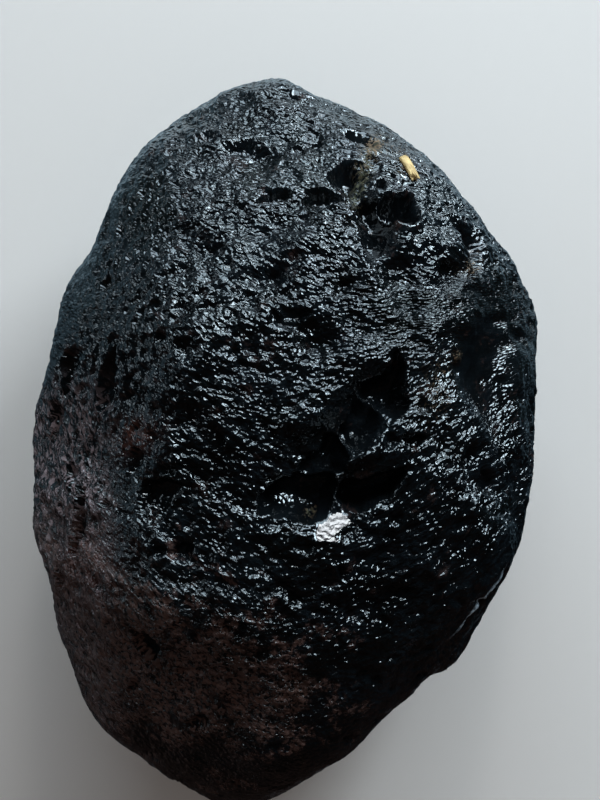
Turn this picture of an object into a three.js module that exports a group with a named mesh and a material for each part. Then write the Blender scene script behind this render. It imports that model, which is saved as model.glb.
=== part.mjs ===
// A saffordite nodule: one palm-sized pebble of black volcanic glass, lying on the worn flat of its
// back, with a splinter of dry plant matter stuck to its upper right shoulder.
//
// Millimetres. +X runs across the stone, +Y along it to the narrow crown, and +Z up through its
// pitted face. The origin lies under the middle of the stone, on the surface that it rests on.

import * as THREE from "three";
import { mergeVertices } from "three/addons/utils/BufferGeometryUtils.js";

// Driving dimensions.
const WIDTH = 60;
const LENGTH = 86.4;
const WAIST_HEIGHT = 22; // height of the widest section above the ground
const FACE_RISE = 24; // from the widest section up to the top of the face
const BACK_DROP = 22.6; // from the widest section down to the back, before the worn flat
const ROUNDNESS = 2.3; // exponent of the section through the stone: 2 is an ellipse
const FACET_SHARPNESS = 16; // how tightly the worn facets meet the body
const WAIST_BAND = 0.42; // the sine of the slope up to which the outline's notches are felt
const SOFT_WINDOW = 0.5; // radians to each side over which they are evened out elsewhere

// The widest section, clockwise from the crown: shares of half the width and half the length.
const OUTLINE = [
  [0, 0.99], [0.13, 0.95], [0.295, 0.91], [0.515, 0.815], [0.68, 0.66], [0.835, 0.545], [1, 0.445],
  [1.025, 0.22], [0.985, 0.03], [0.965, -0.17], [0.95, -0.325], [0.84, -0.485], [0.705, -0.63],
  [0.56, -0.67], [0.42, -0.725], [0.205, -0.88], [-0.09, -1.025], [-0.435, -0.965], [-0.72, -0.82],
  [-0.805, -0.665], [-0.885, -0.535], [-0.95, -0.32], [-0.965, 0], [-0.96, 0.09], [-0.88, 0.215],
  [-0.83, 0.41], [-0.715, 0.53], [-0.625, 0.675], [-0.49, 0.84], [-0.285, 0.93], [-0.09, 0.99],
];

// Facets worn on the pebble: the way each one looks, and its distance from the middle.
const FACETS = [
  { toward: [-0.05, 0.42, 0.9], distance: 27.4 }, // upper face
  { toward: [-0.75, 0.0, 0.66], distance: 25.6 }, // left flank
  { toward: [-0.38, -0.48, 0.79], distance: 29.5 }, // lower left shoulder
  { toward: [0.1, -0.1, 0.99], distance: 23.8 }, // middle of the face
  { toward: [0.85, 0.1, 0.5], distance: 28.0 }, // right flank
  { toward: [0.78, -0.6, 0.2], distance: 33 }, // chipped ledge at the lower right
  { toward: [-0.5, 0.5, -0.7], distance: 27.5 }, // back, near the crown
  { toward: [0.4, -0.4, -0.82], distance: 26.5 }, // back, near the foot
];

// Broad soft forms on the face, placed by where they are seen from above. Positive depths are
// dishes and negative ones are swellings. turn is anticlockwise from +X, in degrees.
const DISHES = [
  // the great hollow of the right side, and the ridge beside it
  { across: 24, along: 7.4, length: 18, width: 14, turn: 80, depth: 2.7 },
  { across: 16, along: 11, length: 11, width: 5, turn: 80, depth: -0.9 },
  { across: 21.5, along: -3, length: 10, width: 6, turn: 70, depth: 1 },
  // the valley that crosses the middle, and the channels above it
  { across: 6.8, along: 1.8, length: 22, width: 7.5, turn: 42, depth: 2.2 },
  { across: 12.9, along: 16.9, length: 10, width: 5.6, turn: -70, depth: 1.3 },
  { across: 3.6, along: 11.1, length: 8.6, width: 5.6, turn: -40, depth: 1.2 },
  // the bed of the great cavities, the crest between them and the ledge below them
  { across: 5, along: -5.5, length: 19, width: 8, turn: 8, depth: 1.2 },
  { across: 9, along: -1.4, length: 9, width: 2.4, turn: 22, depth: -0.6 },
  { across: 5.2, along: -9.8, length: 6, width: 3, turn: 8, depth: -0.6 },
  { across: 3.5, along: -13, length: 22, width: 5, turn: 8, depth: -0.6 },
  // the channels and hollows below the crown, the swelling under them and the notches of the shoulders
  { across: 9.6, along: 24.5, length: 16, width: 4.8, turn: 102, depth: 1.6 },
  { across: 11.4, along: 21.4, length: 9, width: 4.6, turn: 98, depth: 1.2 },
  { across: 21.6, along: 21.9, length: 6.6, width: 5.2, turn: -55, depth: 2.2 },
  { across: 8.1, along: 28.2, length: 9.6, width: 6.6, turn: 65, depth: 1 },
  { across: 8.9, along: 34.1, length: 5.6, width: 3.6, turn: -30, depth: 1.5 },
  { across: -2.5, along: 31.7, length: 5.6, width: 5, turn: 0, depth: 0.8 },
  { across: 0.9, along: 21.2, length: 9, width: 4.6, turn: 0, depth: -0.8 },
  { across: -1.5, along: 17.4, length: 8, width: 4, turn: 10, depth: 0.8 },
  { across: -20.6, along: 23.4, length: 7, width: 4, turn: 60, depth: 0.9 },
];

// Crisp pits in the face, placed in the same way.
const FACE_PITS = [
  // the sharp-rimmed cavity below the shoulder, and the hollows that run into it
  { across: 13.2, along: 25.8, length: 5, width: 4.9, turn: -10, depth: 3.8 },
  { across: 10.2, along: 24, length: 7.4, width: 3.4, turn: 95, depth: 2.2 },
  { across: 10.9, along: 28.5, length: 2, width: 1.6, turn: 0, depth: 1 },
  { across: 6.9, along: 29.6, length: 4.8, width: 3, turn: 76, depth: 2.1 },
  { across: 4.9, along: 26.6, length: 5.4, width: 2, turn: 4, depth: 1.8 },
  { across: -0.4, along: 26.4, length: 3.4, width: 1.7, turn: -5, depth: 1.2 },
  // the great cavities in the middle, with thin walls between them
  { across: 1.6, along: -6.2, length: 9, width: 5, turn: 5, depth: 3.6 },
  { across: 4.4, along: -2.2, length: 6.6, width: 3.8, turn: 50, depth: 2.8 },
  { across: 9.3, along: -5.2, length: 7.8, width: 4.1, turn: 18, depth: 3.4 },
  { across: 14.5, along: 0.4, length: 2.6, width: 1.8, turn: 0, depth: 1.2 },
  { across: 11.8, along: 5.8, length: 6.4, width: 4.8, turn: 70, depth: 2.6 },
  { across: 8.6, along: 1.9, length: 6.6, width: 3.4, turn: 57, depth: 2.4 },
  // the right side
  { across: 19, along: 18.2, length: 5, width: 2.8, turn: 30, depth: 1.3 },
  { across: 20.9, along: -1.1, length: 4, width: 2.4, turn: 10, depth: 1.3 },
  { across: 23, along: -4.7, length: 4.4, width: 2.8, turn: 10, depth: 1.5 },
  // the left flank
  { across: -19.5, along: 6.1, length: 9, width: 2.4, turn: 72, depth: 1.5 },
  { across: -24.2, along: 8.1, length: 5.6, width: 2.2, turn: 73, depth: 1.2 },
  { across: -16.3, along: -2.2, length: 3.2, width: 2.4, turn: 35, depth: 1.4 },
  { across: -12.9, along: -6.2, length: 4.8, width: 3.2, turn: 52, depth: 1.8 },
  { across: -10.6, along: -11.8, length: 3.4, width: 2.4, turn: 30, depth: 1.5 },
  { across: -15.2, along: -22.8, length: 4.6, width: 3.4, turn: -50, depth: 1.9 },
  { across: -9.8, along: -32.2, length: 3.2, width: 2.4, turn: 20, depth: 1.2 },
  { across: -23.4, along: -11.2, length: 8.4, width: 2.2, turn: 74, depth: 1.5 },
  // below the crown
  { across: -4.8, along: 32.9, length: 3.6, width: 2.2, turn: 20, depth: 1 },
  { across: 3.6, along: 33.4, length: 3.4, width: 1.7, turn: 20, depth: 1.2 },
];

// Pits scattered over the flanks and the back.
const SCATTERED_PITS = 44;
const SCATTER_BELOW = -0.05; // the most that a scattered pit's direction may look up
const SCATTER_LENGTH = [2.6, 6.5];
const SCATTER_SLIMNESS = [0.45, 0.95];
const SCATTER_DEPTH_SHARE = 0.34; // depth as a share of the width
const WORN_MARGIN = 1.5; // no pit is left lower than this, where the back is worn

const DISH_EDGE = 2; // exponent of a soft edge
const PIT_EDGE = 0.9; // exponent of a crisp edge with a steep wall
const PIT_LOBES = 3; // a pit's rim wanders in and out this many times
const PIT_WANDER = 0.13;

// Swells of the surface, so that no part of it is a true ellipsoid: long ones, then short ones.
const SWELLS = [
  { count: 7, height: 0.3, wavelengths: [16, 38] },
  { count: 14, height: 0.05, wavelengths: [6, 11] },
];

// The stone's net: an icosahedron whose edges are cut into this many parts and one more, and
// then the edges over a pit are halved for as long as they are a large share of its width.
const STONE_DETAIL = 14;
const HALVINGS = 2;
const PIT_MARGIN = 1.2;
const EDGE_SHARE = 0.33;
const RIM_CATCH = 0.22; // corners this close to a rim, as shares of the reach to it, are moved onto it

// The splinter, from its blunt upper end to its broken lower end.
const SPLINTER_AT = { across: 14.1, along: 30.5 };
const SPLINTER_LENGTH = 3.4;
const SPLINTER_WIDTH = 1.2;
const SPLINTER_THICKNESS = 0.8;
const SPLINTER_LEANS = [0.36, -0.78, 0.5]; // down the stone's surface
const SEAT_GAP = 0.3;

const SEED = 2615;
const FULL_TURN = 2 * Math.PI;
const MIDDLE = new THREE.Vector3(0, 0, WAIST_HEIGHT);

// Park and Miller's generator: the same run of numbers on every machine.
function makeRandom(seed) {
  let state = seed;
  return (low, high) => {
    state = (state * 16807) % 2147483647;
    return low + ((high - low) * state) / 2147483647;
  };
}

// The outline's radius by bearing, clockwise from the crown, as a smooth curve through its points.
const outlineKnots = OUTLINE.map(([across, along]) => {
  const x = (across * WIDTH) / 2;
  const y = (along * LENGTH) / 2;
  return { bearing: (Math.atan2(x, y) + FULL_TURN) % FULL_TURN, radius: Math.hypot(x, y) };
}).sort((a, b) => a.bearing - b.bearing);

function outlineKnot(index) {
  const count = outlineKnots.length;
  const knot = outlineKnots[(index + count) % count];
  return { bearing: knot.bearing + FULL_TURN * Math.floor(index / count), radius: knot.radius };
}

function outlineRadius(anyBearing) {
  const bearing = (anyBearing + FULL_TURN) % FULL_TURN;
  const from = outlineKnots.findLastIndex((knot) => knot.bearing <= bearing);
  const [before, start, end, after] = [-1, 0, 1, 2].map((step) => outlineKnot(from + step));
  const span = end.bearing - start.bearing;
  const slopeAt = (a, b) => ((b.radius - a.radius) / (b.bearing - a.bearing)) * span;
  const t = (bearing - start.bearing) / span;
  return (
    start.radius * (1 + 2 * t) * (1 - t) ** 2 +
    end.radius * (3 - 2 * t) * t ** 2 +
    slopeAt(before, end) * t * (1 - t) ** 2 -
    slopeAt(start, after) * (1 - t) * t ** 2
  );
}

// The same radius with its notches and bumps evened out.
function softRadius(bearing) {
  const shares = [-2, -1, 0, 1, 2];
  const radii = shares.map((share) => outlineRadius(bearing + (share * SOFT_WINDOW) / 2));
  return radii.reduce((sum, radius) => sum + radius) / radii.length;
}

const facets = FACETS.map(({ toward, distance }) => ({
  normal: new THREE.Vector3(...toward).normalize(),
  distance,
}));

const randomSwell = makeRandom(SEED);
const swells = SWELLS.flatMap(({ count, height, wavelengths }) =>
  Array.from({ length: count }, () => ({
    toward: new THREE.Vector3(randomSwell(-1, 1), randomSwell(-1, 1), randomSwell(-1, 1)).normalize(),
    wavelength: randomSwell(...wavelengths),
    phase: randomSwell(0, FULL_TURN),
    height,
  })),
);

// The pebble before its pits: the surface point that lies in a direction from the middle.
function bodyPoint(direction) {
  const level = Math.hypot(direction.x, direction.y);
  const bearing = Math.atan2(direction.x, direction.y);
  const waist = Math.exp(-((direction.z / WAIST_BAND) ** 2));
  const radius = waist * outlineRadius(bearing) + (1 - waist) * softRadius(bearing);
  const rise = direction.z > 0 ? FACE_RISE : BACK_DROP;
  const round = (level / radius) ** ROUNDNESS + (Math.abs(direction.z) / rise) ** ROUNDNESS;
  let closeness = round ** (FACET_SHARPNESS / ROUNDNESS);
  for (const { normal, distance } of facets) {
    closeness += (Math.max(0, normal.dot(direction)) / distance) ** FACET_SHARPNESS;
  }
  const point = direction.clone().multiplyScalar(closeness ** (-1 / FACET_SHARPNESS));
  let swell = 0;
  for (const { toward, wavelength, phase, height } of swells) {
    swell += height * Math.sin((FULL_TURN * toward.dot(point)) / wavelength + phase);
  }
  return point.addScaledVector(direction, swell).add(MIDDLE);
}

// The direction from the middle to the point of the face that is seen at a place from above.
function faceDirection(across, along) {
  let low = 0;
  let high = 1.2 * FACE_RISE;
  const sight = new THREE.Vector3();
  for (let step = 0; step < 40; step += 1) {
    sight.set(across, along, (low + high) / 2);
    const surface = bodyPoint(sight.clone().normalize()).sub(MIDDLE);
    if (surface.length() > sight.length()) low = sight.z;
    else high = sight.z;
  }
  return sight.normalize();
}

function bodyNormal(direction) {
  const step = 0.01;
  const side = new THREE.Vector3(0, 0, 1).cross(direction).normalize();
  const up = direction.clone().cross(side);
  const pointBeside = (axis, amount) =>
    bodyPoint(direction.clone().addScaledVector(axis, amount).normalize());
  const alongSide = pointBeside(side, step).sub(pointBeside(side, -step));
  const alongUp = pointBeside(up, step).sub(pointBeside(up, -step));
  return alongSide.cross(alongUp).normalize();
}

// A hollow's own frame: its middle, its inward axis, and its long and short half-axes.
function hollow(direction, { length, width, turn, depth }, edge) {
  const normal = bodyNormal(direction);
  const acrossAxis = new THREE.Vector3(1, 0, 0).projectOnPlane(normal).normalize();
  const alongAxis = normal.clone().cross(acrossAxis);
  const angle = THREE.MathUtils.degToRad(turn);
  const longAxis = acrossAxis.multiplyScalar(Math.cos(angle)).addScaledVector(alongAxis, Math.sin(angle));
  return {
    middle: bodyPoint(direction),
    normal,
    longAxis,
    shortAxis: normal.clone().cross(longAxis),
    halfLength: length / 2,
    halfWidth: width / 2,
    depth,
    edge,
  };
}

// How far a point lies from a hollow's middle, where 1 is its rim, which wanders in and out.
function reach(point, pit) {
  const offset = point.clone().sub(pit.middle);
  const a = offset.dot(pit.longAxis) / pit.halfLength;
  const b = offset.dot(pit.shortAxis) / pit.halfWidth;
  const wander = Math.sin(PIT_LOBES * Math.atan2(b, a) + pit.middle.x + pit.middle.y);
  return Math.hypot(a, b) * (1 + PIT_WANDER * wander);
}

// How deep a hollow lies below a point of the body.
function depthBelow(point, pit) {
  if (point.distanceTo(pit.middle) > 1.3 * pit.halfLength) return 0;
  const share = reach(point, pit);
  return share < 1 ? pit.depth * (1 - share * share) ** pit.edge : 0;
}

function facePits(list, edge) {
  return list.map((place) => hollow(faceDirection(place.across, place.along), place, edge));
}

// Pits for the sides and back: a golden spiral of directions, each one nudged from its place.
function scatteredPits() {
  const random = makeRandom(SEED + 1);
  const golden = Math.PI * (3 - Math.sqrt(5));
  const pits = [];
  for (let i = 0; i < SCATTERED_PITS; i += 1) {
    const height = SCATTER_BELOW - ((1 + SCATTER_BELOW) * (i + random(0.2, 0.8))) / SCATTERED_PITS;
    const bearing = golden * i + random(-0.4, 0.4);
    const level = Math.sqrt(1 - height * height);
    const direction = new THREE.Vector3(level * Math.cos(bearing), level * Math.sin(bearing), height);
    if (bodyPoint(direction).z < WORN_MARGIN) continue;
    const length = random(...SCATTER_LENGTH);
    const width = length * random(...SCATTER_SLIMNESS);
    const turn = random(0, 180);
    pits.push(hollow(direction, { length, width, turn, depth: SCATTER_DEPTH_SHARE * width }, PIT_EDGE));
  }
  return pits;
}

const dishes = facePits(DISHES, DISH_EDGE);
const pits = [...facePits(FACE_PITS, PIT_EDGE), ...scatteredPits()];

// The finished surface: soft forms add up, and of the crisp pits the deepest one counts, so that
// neighbouring pits meet in a sharp wall. What would reach below the ground is worn flat.
function surfacePoint(direction) {
  const body = bodyPoint(direction);
  const point = body.clone();
  for (const dish of dishes) point.addScaledVector(dish.normal, -depthBelow(body, dish));
  let deepest = 0;
  let inward = direction;
  for (const pit of pits) {
    const depth = depthBelow(body, pit);
    if (depth > deepest) {
      deepest = depth;
      inward = pit.normal;
    }
  }
  point.addScaledVector(inward, -deepest);
  point.z = Math.max(0, point.z);
  return point;
}

// Whether the edge between two directions lies over a pit that is too narrow for it.
function isLongEdge(from, to) {
  const middle = bodyPoint(from.clone().add(to).normalize());
  const length = bodyPoint(from).distanceTo(bodyPoint(to));
  return pits.some(
    (pit) =>
      length > 2 * EDGE_SHARE * pit.halfWidth &&
      middle.distanceTo(pit.middle) < PIT_MARGIN * pit.halfLength &&
      reach(middle, pit) < PIT_MARGIN,
  );
}

// Cuts a triangle at those of its edges that have a middle corner.
function splitTriangle(corners, middles) {
  const cuts = middles.filter((middle) => middle !== null).length;
  if (cuts === 0) return [corners];
  let [a, b, c] = corners;
  let [ab, bc, ca] = middles;
  while (ab === null || (cuts === 2 && ca !== null)) {
    [a, b, c] = [b, c, a];
    [ab, bc, ca] = [bc, ca, ab];
  }
  if (cuts === 1) return [[a, ab, c], [ab, b, c]];
  if (cuts === 2) return [[ab, b, bc], [a, ab, bc], [a, bc, c]];
  return [[a, ab, ca], [ab, b, bc], [ca, bc, c], [ab, bc, ca]];
}

// Halves every edge that is long for the pit it lies over. Two neighbours share the new corner.
function halveLongEdges(directions, triangles) {
  const middles = new Map();
  const middleOf = (from, to) => {
    const key = `${Math.min(from, to)} ${Math.max(from, to)}`;
    if (!middles.has(key)) {
      const isLong = isLongEdge(directions[from], directions[to]);
      const middle = directions[from].clone().add(directions[to]).normalize();
      middles.set(key, isLong ? directions.push(middle) - 1 : null);
    }
    return middles.get(key);
  };
  return triangles.flatMap(([a, b, c]) =>
    splitTriangle([a, b, c], [middleOf(a, b), middleOf(b, c), middleOf(c, a)]),
  );
}

// Moves a direction that lies close to a pit's rim onto it, so that the net follows the rim.
function drawnToRim(direction) {
  const point = bodyPoint(direction);
  const pit = pits.find(
    (one) =>
      point.distanceTo(one.middle) < 1.4 * one.halfLength &&
      Math.abs(reach(point, one) - 1) < RIM_CATCH,
  );
  if (!pit) return direction;
  const offset = point.clone().sub(pit.middle).projectOnPlane(pit.normal);
  return point.addScaledVector(offset, 1 / reach(point, pit) - 1).sub(MIDDLE).normalize();
}

function makeStone() {
  const ball = new THREE.IcosahedronGeometry(1, STONE_DETAIL);
  ball.deleteAttribute("normal");
  ball.deleteAttribute("uv");
  const net = mergeVertices(ball);
  const places = net.getAttribute("position");
  const directions = Array.from({ length: places.count }, (_, corner) =>
    new THREE.Vector3().fromBufferAttribute(places, corner).normalize(),
  );
  const corners = [...net.index.array];
  let triangles = Array.from({ length: corners.length / 3 }, (_, i) => corners.slice(3 * i, 3 * i + 3));
  for (let round = 0; round < HALVINGS; round += 1) triangles = halveLongEdges(directions, triangles);
  const geometry = new THREE.BufferGeometry();
  geometry.setFromPoints(directions.map(drawnToRim).map(surfacePoint));
  geometry.setIndex(triangles.flat());
  geometry.computeVertexNormals();
  const glass = new THREE.MeshStandardMaterial({ color: 0x0c0f11, roughness: 0.3, metalness: 0 });
  const stone = new THREE.Mesh(geometry, glass);
  stone.name = "stone";
  return stone;
}

// A flattened eight-sided stalk, a little bent, that tapers at its broken end.
function makeSplinter() {
  const direction = faceDirection(SPLINTER_AT.across, SPLINTER_AT.along);
  const normal = bodyNormal(direction);
  const lean = new THREE.Vector3(...SPLINTER_LEANS).projectOnPlane(normal).normalize();
  const side = normal.clone().cross(lean);
  const half = SPLINTER_LENGTH / 2;
  const bend = 0.06 * SPLINTER_LENGTH;
  const outline = new THREE.Shape();
  outline.moveTo(-half, -0.2 * SPLINTER_WIDTH);
  outline.lineTo(-0.86 * half, -0.47 * SPLINTER_WIDTH);
  outline.quadraticCurveTo(0, -0.5 * SPLINTER_WIDTH - bend, 0.92 * half, -0.4 * SPLINTER_WIDTH);
  outline.lineTo(half, 0.05 * SPLINTER_WIDTH);
  outline.lineTo(0.84 * half, 0.42 * SPLINTER_WIDTH);
  outline.quadraticCurveTo(0, 0.5 * SPLINTER_WIDTH - bend, -0.8 * half, 0.5 * SPLINTER_WIDTH);
  outline.lineTo(-half, 0.22 * SPLINTER_WIDTH);
  outline.closePath();
  const bevel = 0.22 * SPLINTER_THICKNESS;
  const geometry = new THREE.ExtrudeGeometry(outline, {
    depth: SPLINTER_THICKNESS - 2 * bevel,
    bevelThickness: bevel,
    bevelSize: bevel,
    bevelOffset: -bevel,
    bevelSegments: 2,
    curveSegments: 6,
  });
  geometry.translate(0, 0, bevel);
  const straw = new THREE.MeshStandardMaterial({ color: 0xcaa55a, roughness: 0.7, metalness: 0 });
  const splinter = new THREE.Mesh(geometry, straw);
  splinter.name = "straw_fragment";
  splinter.applyMatrix4(new THREE.Matrix4().makeBasis(lean, side, normal));
  splinter.position.copy(surfacePoint(direction)).addScaledVector(normal, SEAT_GAP);
  return splinter;
}

const saffordite = new THREE.Group();
saffordite.add(makeStone(), makeSplinter());

// The origin lies under the middle of the stone's box.
const middle = new THREE.Box3().setFromObject(saffordite).getCenter(new THREE.Vector3());
saffordite.position.set(-middle.x, -middle.y, 0);

export default saffordite;
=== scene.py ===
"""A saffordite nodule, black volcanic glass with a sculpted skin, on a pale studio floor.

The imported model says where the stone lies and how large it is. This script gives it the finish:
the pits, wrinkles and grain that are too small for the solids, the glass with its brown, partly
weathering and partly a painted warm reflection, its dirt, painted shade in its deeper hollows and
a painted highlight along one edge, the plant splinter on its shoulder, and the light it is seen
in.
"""

import math

import bmesh
import bpy
import numpy as np
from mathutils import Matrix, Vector, noise


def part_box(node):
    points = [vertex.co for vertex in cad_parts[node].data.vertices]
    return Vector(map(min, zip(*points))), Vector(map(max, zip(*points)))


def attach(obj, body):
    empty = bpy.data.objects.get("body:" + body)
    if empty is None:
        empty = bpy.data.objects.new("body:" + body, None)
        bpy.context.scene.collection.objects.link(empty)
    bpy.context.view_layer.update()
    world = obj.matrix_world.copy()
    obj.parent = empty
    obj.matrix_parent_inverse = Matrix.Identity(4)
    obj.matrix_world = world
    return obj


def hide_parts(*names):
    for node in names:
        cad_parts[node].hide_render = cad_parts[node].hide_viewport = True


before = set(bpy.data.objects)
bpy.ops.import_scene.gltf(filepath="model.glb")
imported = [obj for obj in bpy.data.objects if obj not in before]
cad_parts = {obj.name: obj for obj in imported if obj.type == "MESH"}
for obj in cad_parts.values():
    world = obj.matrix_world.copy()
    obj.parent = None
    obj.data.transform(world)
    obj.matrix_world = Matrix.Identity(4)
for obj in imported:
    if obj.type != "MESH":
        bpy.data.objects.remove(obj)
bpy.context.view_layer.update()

MM = 0.001
FULL_TURN = 2 * math.pi
STONE_LOW, STONE_HIGH = (np.array(corner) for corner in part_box("stone"))
STONE_CENTRE = (STONE_LOW + STONE_HIGH) / 2

# The stone's form, in millimetres, from the same driving dimensions as its solid.
WIDTH = 60
LENGTH = 86.4
WAIST_HEIGHT = 22
FACE_RISE = 24
BACK_DROP = 22.6
ROUNDNESS = 2.3
FACET_SHARPNESS = 16
SEED = 2615

# The outline's corners show only near the waist: how far up and down, as a share of upright, and
# how far to each side the radius is averaged elsewhere, in radians.
WAIST_BAND = 0.42
SOFT_WINDOW = 0.5

# The widest section, clockwise from the crown: shares of half the width and half the length.
OUTLINE = [
    (0, 0.99), (0.13, 0.95), (0.295, 0.91), (0.515, 0.815), (0.68, 0.66), (0.835, 0.545),
    (1, 0.445), (1.025, 0.22), (0.985, 0.03), (0.965, -0.17), (0.95, -0.325), (0.84, -0.485),
    (0.705, -0.63), (0.56, -0.67), (0.42, -0.725), (0.205, -0.88), (-0.09, -1.025),
    (-0.435, -0.965), (-0.72, -0.82), (-0.805, -0.665), (-0.885, -0.535), (-0.95, -0.32),
    (-0.965, 0), (-0.96, 0.09), (-0.88, 0.215), (-0.83, 0.41), (-0.715, 0.53), (-0.625, 0.675),
    (-0.49, 0.84), (-0.285, 0.93), (-0.09, 0.99),
]

# Worn facets: the way each one looks, and its distance from the middle.
FACETS = [
    ((-0.05, 0.42, 0.9), 27.4),
    ((-0.75, 0.0, 0.66), 25.6),
    ((-0.38, -0.48, 0.79), 29.5),
    ((0.1, -0.1, 0.99), 23.8),
    ((0.85, 0.1, 0.5), 28.0),
    ((0.78, -0.6, 0.2), 33),
    ((-0.5, 0.5, -0.7), 27.5),
    ((0.4, -0.4, -0.82), 26.5),
]

# Swells: how many, how high, and their shortest and longest waves.
SWELLS = [(7, 0.3, 16, 38), (14, 0.05, 6, 11)]

# Soft dishes and swellings on the face: across, along, length, width, turn in degrees, depth.
DISHES = [
    (24, 7.4, 18, 14, 80, 2.7),
    (16, 11, 11, 5, 80, -0.9),
    (21.5, -3, 10, 6, 70, 1),
    (6.8, 1.8, 22, 7.5, 42, 2.2),
    (12.9, 16.9, 10, 5.6, -70, 1.3),
    (3.6, 11.1, 8.6, 5.6, -40, 1.2),
    (5, -5.5, 19, 8, 8, 1.2),
    (9, -1.4, 9, 2.4, 22, -0.6),
    (5.2, -9.8, 6, 3, 8, -0.6),
    (3.5, -13, 22, 5, 8, -0.6),
    (9.6, 24.5, 16, 4.8, 102, 1.6),
    (11.4, 21.4, 9, 4.6, 98, 1.2),
    (21.6, 21.9, 6.6, 5.2, -55, 2.2),
    (8.1, 28.2, 9.6, 6.6, 65, 1),
    (8.9, 34.1, 5.6, 3.6, -30, 1.5),
    (-2.5, 31.7, 5.6, 5, 0, 0.8),
    (0.9, 21.2, 9, 4.6, 0, -0.8),
    (-1.5, 17.4, 8, 4, 10, 0.8),
    (-20.6, 23.4, 7, 4, 60, 0.9),
]

# Crisp pits in the face, in the same order of numbers.
FACE_PITS = [
    (13.2, 25.8, 5, 4.9, -10, 3.8),
    (10.2, 24, 7.4, 3.4, 95, 2.2),
    (10.9, 28.5, 2, 1.6, 0, 1),
    (6.9, 29.6, 4.8, 3, 76, 2.1),
    (4.9, 26.6, 5.4, 2, 4, 1.8),
    (-0.4, 26.4, 3.4, 1.7, -5, 1.2),
    (1.6, -6.2, 9, 5, 5, 3.6),
    (4.4, -2.2, 6.6, 3.8, 50, 2.8),
    (9.3, -5.2, 7.8, 4.1, 18, 3.4),
    (14.5, 0.4, 2.6, 1.8, 0, 1.2),
    (11.8, 5.8, 6.4, 4.8, 70, 2.6),
    (8.6, 1.9, 6.6, 3.4, 57, 2.4),
    (19, 18.2, 5, 2.8, 30, 1.3),
    (20.9, -1.1, 4, 2.4, 10, 1.3),
    (23, -4.7, 4.4, 2.8, 10, 1.5),
    (-19.5, 6.1, 9, 2.4, 72, 1.5),
    (-24.2, 8.1, 5.6, 2.2, 73, 1.2),
    (-16.3, -2.2, 3.2, 2.4, 35, 1.4),
    (-12.9, -6.2, 4.8, 3.2, 52, 1.8),
    (-10.6, -11.8, 3.4, 2.4, 30, 1.5),
    (-15.2, -22.8, 4.6, 3.4, -50, 1.9),
    (-9.8, -32.2, 3.2, 2.4, 20, 1.2),
    (-23.4, -11.2, 8.4, 2.2, 74, 1.5),
    (-4.8, 32.9, 3.6, 2.2, 20, 1),
    (3.6, 33.4, 3.4, 1.7, 20, 1.2),
]

# Smaller pits that only this finish has.
SMALL_FACE_PITS = [
    (-0.9, 34.8, 1.8, 0.8, 0, 0.5),
    (3.4, 34.4, 3.4, 0.8, 15, 0.6),
    (-9.2, 32.1, 1.4, 0.8, 0, 0.5),
    (-0.6, 39.1, 3.6, 1.0, 0, 0.6),
    (-7.2, 21.2, 1.8, 0.8, 0, 0.5),
    (1.8, 13.9, 3.0, 1.6, 0, 0.7),
    (13.4, 12.3, 1.8, 1.2, 0, 0.6),
    (-26.2, 1.8, 5.6, 1.7, 80, 1.2),
    (-23.6, -4.6, 4.6, 1.4, 85, 1.0),
    (-16.8, 6.6, 1.2, 1.1, 0, 0.6),
    (-14.2, -5.3, 2.2, 1.8, 0, 0.9),
    (-13.8, -24.7, 2.2, 1.7, 0, 0.8),
    (-22.1, -7.0, 2.6, 1.2, 75, 0.7),
    (-25.4, -16.8, 2.4, 1.2, 75, 0.7),
    (3.6, -0.9, 2.6, 1.3, 20, 0.7),
    (6.4, 17.0, 2.4, 1.1, -20, 0.6),
    (-3.4, 8.2, 2.6, 1.2, -12, 0.6),
]

# The solid's pits on the sides and the back: how many, how high they reach as a share of upright,
# how far each one is nudged along its spiral and round it, their lengths, their widths as shares
# of those, their depths as a share of the widths, and how high above the floor they start.
SCATTERED_PITS = 44
SCATTER_BELOW = -0.05
SCATTER_NUDGE = (0.2, 0.8)
SCATTER_SWING = (-0.4, 0.4)
SCATTER_LENGTH = (2.6, 6.5)
SCATTER_SLIMNESS = (0.45, 0.95)
SCATTER_DEPTH_SHARE = 0.34
WORN_MARGIN = 1.5

# How a hollow's floor and its edge are shaped: a high first number gives it a flat floor, and a
# low second number a steep wall. What is deeper than CAVITY_DEPTH is a cavity, and what is no
# longer than PINHOLE_LENGTH is shaped like a pinhole.
DISH_PROFILE = (2, 2)
CAVITY_PROFILE = (3, 0.6)
PIT_PROFILE = (2.4, 0.6)
PINHOLE_PROFILE = (2, 0.9)
CAVITY_DEPTH = 2.3
PINHOLE_LENGTH = 4

# A hollow's rim wanders in and out in a few lobes, by a share of its distance from the middle.
# The margin, a multiple of the half-length, lies past the lobes.
PIT_LOBES = 3
PIT_WANDER = 0.13
PIT_MARGIN = 1.3

# How the pits' outlines are made uneven, coarse then fine: how far they are pushed about, the
# wavelength of the push, and its seed.
PIT_WARPS = [(1.3, 4.2, 20), (0.5, 1.5, 30)]

# The fine net over the stone, closer on the face than on the back.
NET_PARTS = 99
FACE_CLOSENESS = 0.38

# Facets chipped off the face: across, along, the reach of the chip, how much is gone, and the way
# that it looks. The last line is how soft the edge of their polish is.
CHIPS = [
    (3.4, -10.0, 2.0, 0.45, (0.03, 0.45, 0.89)),
    (5.9, -9.6, 2.4, 0.55, (0.03, 0.45, 0.89)),
]
CHIP_EDGE = (-0.05, 0.05)

# Thin raised lips on the rims of cavities: the pit's own five numbers, the lip's height, and the
# bearings on the pit, in degrees, where it starts and ends. LIP_TAPER is in degrees too, and
# POLISHED_LIP is the height from which a lip is fully polished.
LIPS = [
    (13.2, 25.8, 5.2, 5.1, -10, 0.14, -150, 10),
    (4.4, -2.2, 7.0, 4.2, 50, 0.15, -150, -40),
]
LIP_WIDTH = 0.2
LIP_TAPER = 25
POLISHED_LIP = 0.1
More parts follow.
